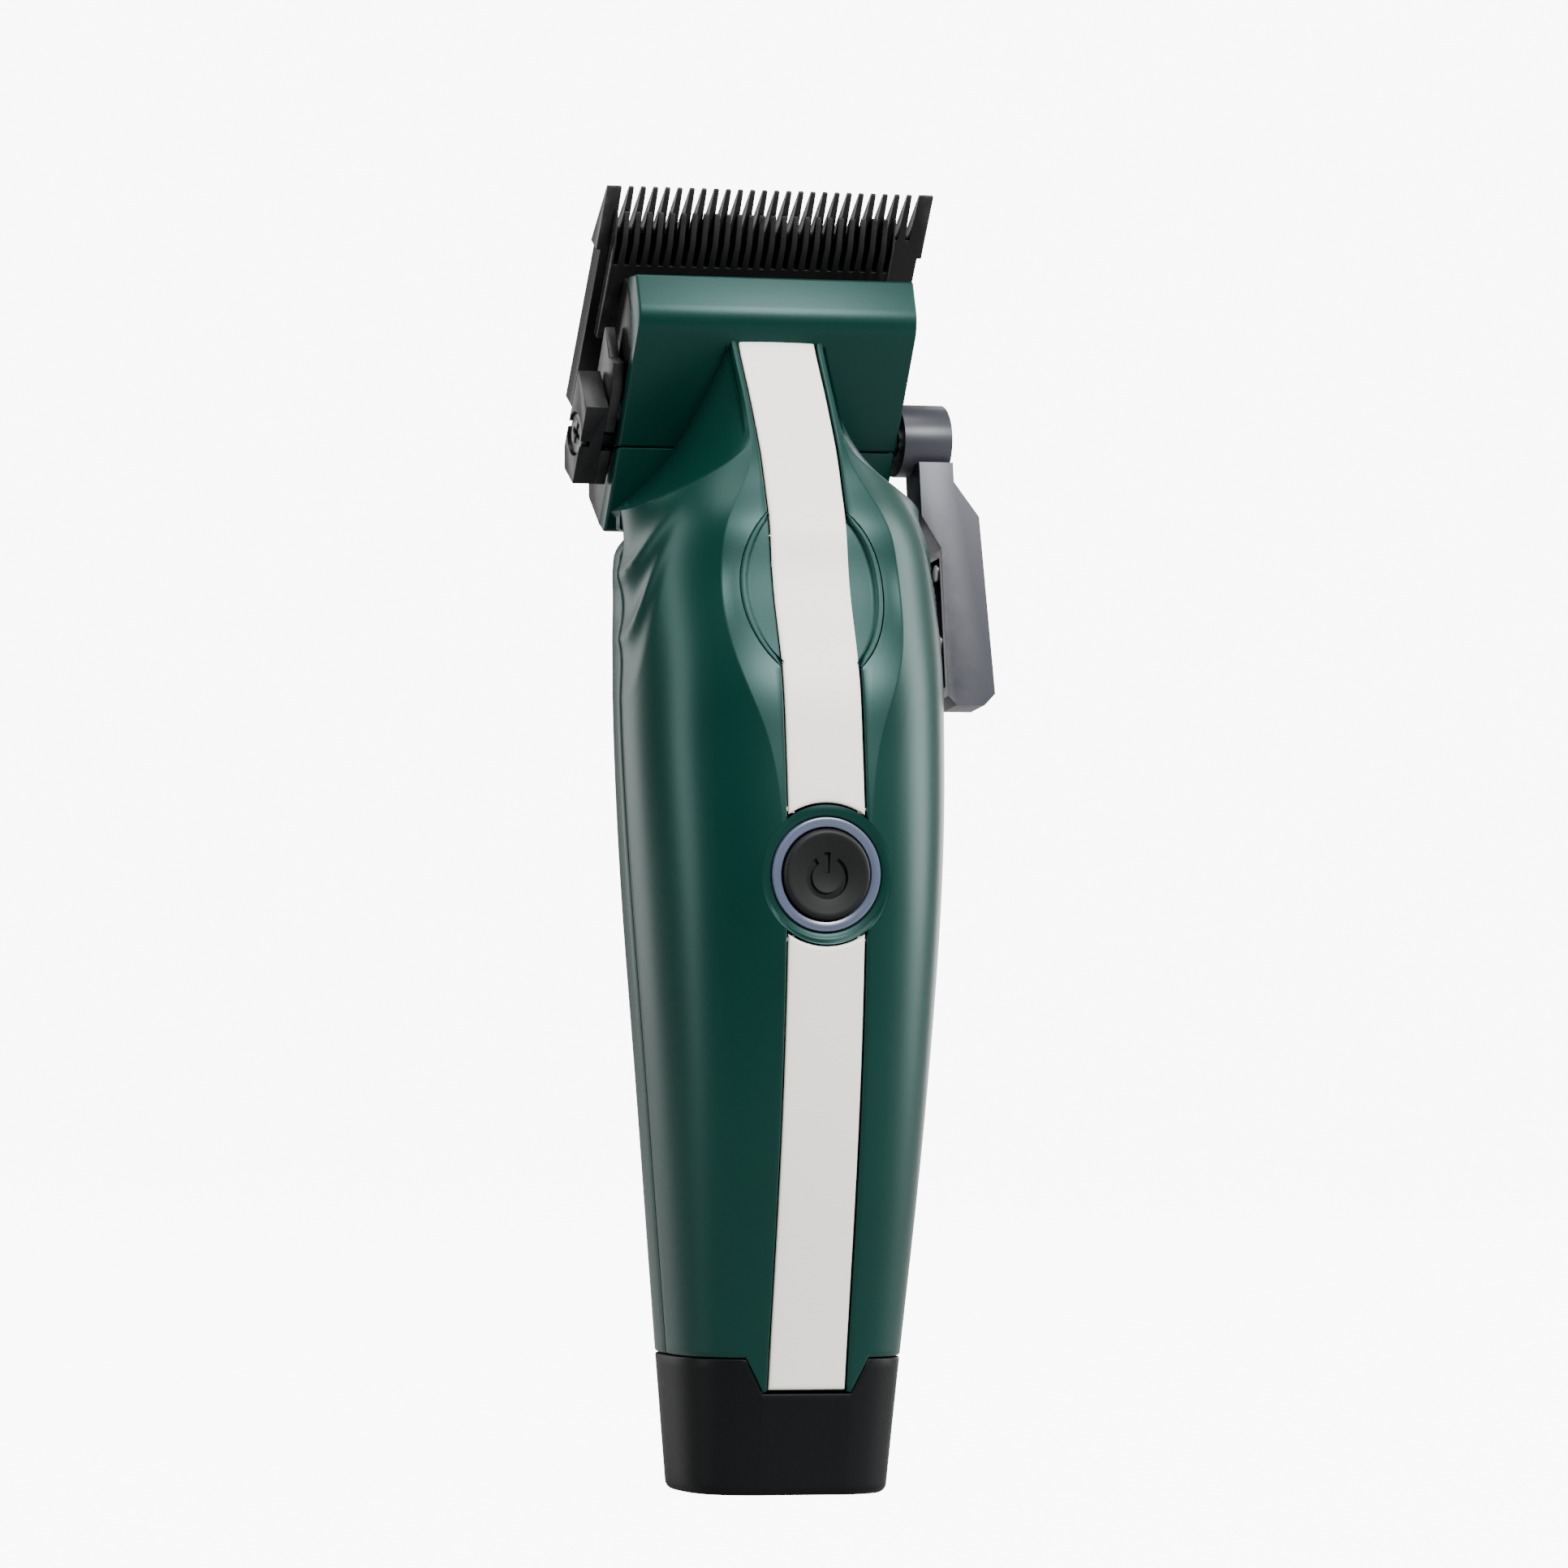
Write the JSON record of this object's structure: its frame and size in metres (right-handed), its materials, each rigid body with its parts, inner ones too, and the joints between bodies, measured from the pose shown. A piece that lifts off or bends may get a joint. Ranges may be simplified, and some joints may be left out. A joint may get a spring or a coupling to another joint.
{
  "type": "hair clipper",
  "caption": "Cordless hair clipper with a slim handle, round front button, toothed blade pair on a leaning head and a taper lever at its side.",
  "frame": {"origin": "middle of the flat face under the end cap, where the clipper stands", "axes": "+Z along the handle from the end cap to the blade, -Y the front with the button, +X the taper lever's side"},
  "size_m": [0.0569, 0.0465, 0.1746],
  "materials": {
    "green_shell": "satin green coat",
    "cream_inlay": "satin cream plastic",
    "black_cap": "fine-grained black plastic",
    "black_button": "satin black plastic",
    "light_guide": "frosted blue-grey plastic, unlit",
    "black_anodised": "black anodised, satin",
    "black_blade": "black carbon coat over ground steel",
    "dark_screw": "blackened steel",
    "bright_steel": "turned steel",
    "circuit_green": "solder mask",
    "cell_wrap": "shrink sleeve",
    "inner_plastic": "moulded black plastic",
    "contact_gold": "plated contact"
  },
  "bodies": {
    "handle": {"end_cap": "black_cap", "front_shell": "green_shell", "rear_shell": "green_shell", "upper_stripe": "cream_inlay", "lower_stripe": "cream_inlay", "thumb_rest": "green_shell", "light_ring": "light_guide", "button_switch": "bright_steel", "circuit_board": "circuit_green", "battery_cell": "cell_wrap", "battery_cradle": "inner_plastic", "charge_socket": "bright_steel", "charge_contact_left": "contact_gold", "charge_contact_right": "contact_gold", "shell_screw_1": "dark_screw", "shell_screw_2": "dark_screw", "shell_screw_3": "dark_screw", "shell_screw_4": "dark_screw", "motor_can": "bright_steel", "motor_mount": "inner_plastic", "head_cover": "green_shell", "head_base": "green_shell", "blade_chassis": "black_cap", "guide_block": "black_cap", "pivot_block": "black_anodised", "pivot_screw": "dark_screw"},
    "button": {"power_button": "black_button"},
    "rotor": {"motor_rotor": "bright_steel"},
    "blade": {"fixed_blade": "black_blade", "blade_carrier": "black_anodised", "blade_screw_left": "dark_screw", "blade_screw_right": "dark_screw"},
    "cutter": {"cutter_blade": "black_blade", "cutter_driver": "inner_plastic", "tension_spring": "bright_steel"},
    "lever": {"taper_lever": "black_anodised", "lever_liner": "inner_plastic", "lever_stud_upper": "dark_screw", "lever_stud_lower": "dark_screw", "lever_axle": "bright_steel"}
  },
  "joints": [
    {"name": "button_press", "type": "slide", "parent": "handle", "child": "button", "axis": [0, 1, 0], "range_m": [0, 0.0006], "stiffness_N_per_m": 600, "springref_m": -0.001},
    {"name": "motor_spin", "type": "hinge", "parent": "handle", "child": "rotor", "pos_m": [0, 0.0066, 0.1175], "axis": [0, 0.2079, 0.9781], "continuous": true},
    {"name": "taper_turn", "type": "hinge", "parent": "handle", "child": "lever", "pos_m": [0, 0.0159, 0.14142], "axis": [1, 0, 0], "range_deg": [0, 40]},
    {"name": "blade_slide", "type": "slide", "parent": "handle", "child": "blade", "axis": [0, -0.5, 0.866], "range_m": [0, 0.0024]},
    {"name": "cutter_stroke", "type": "slide", "parent": "handle", "child": "cutter", "axis": [1, 0, 0], "range_m": [0, 0.0032]}
  ],
  "couplings": [
    {"joint": "taper_turn", "follows": "blade_slide", "rad_per_m": 290.8}
  ]
}
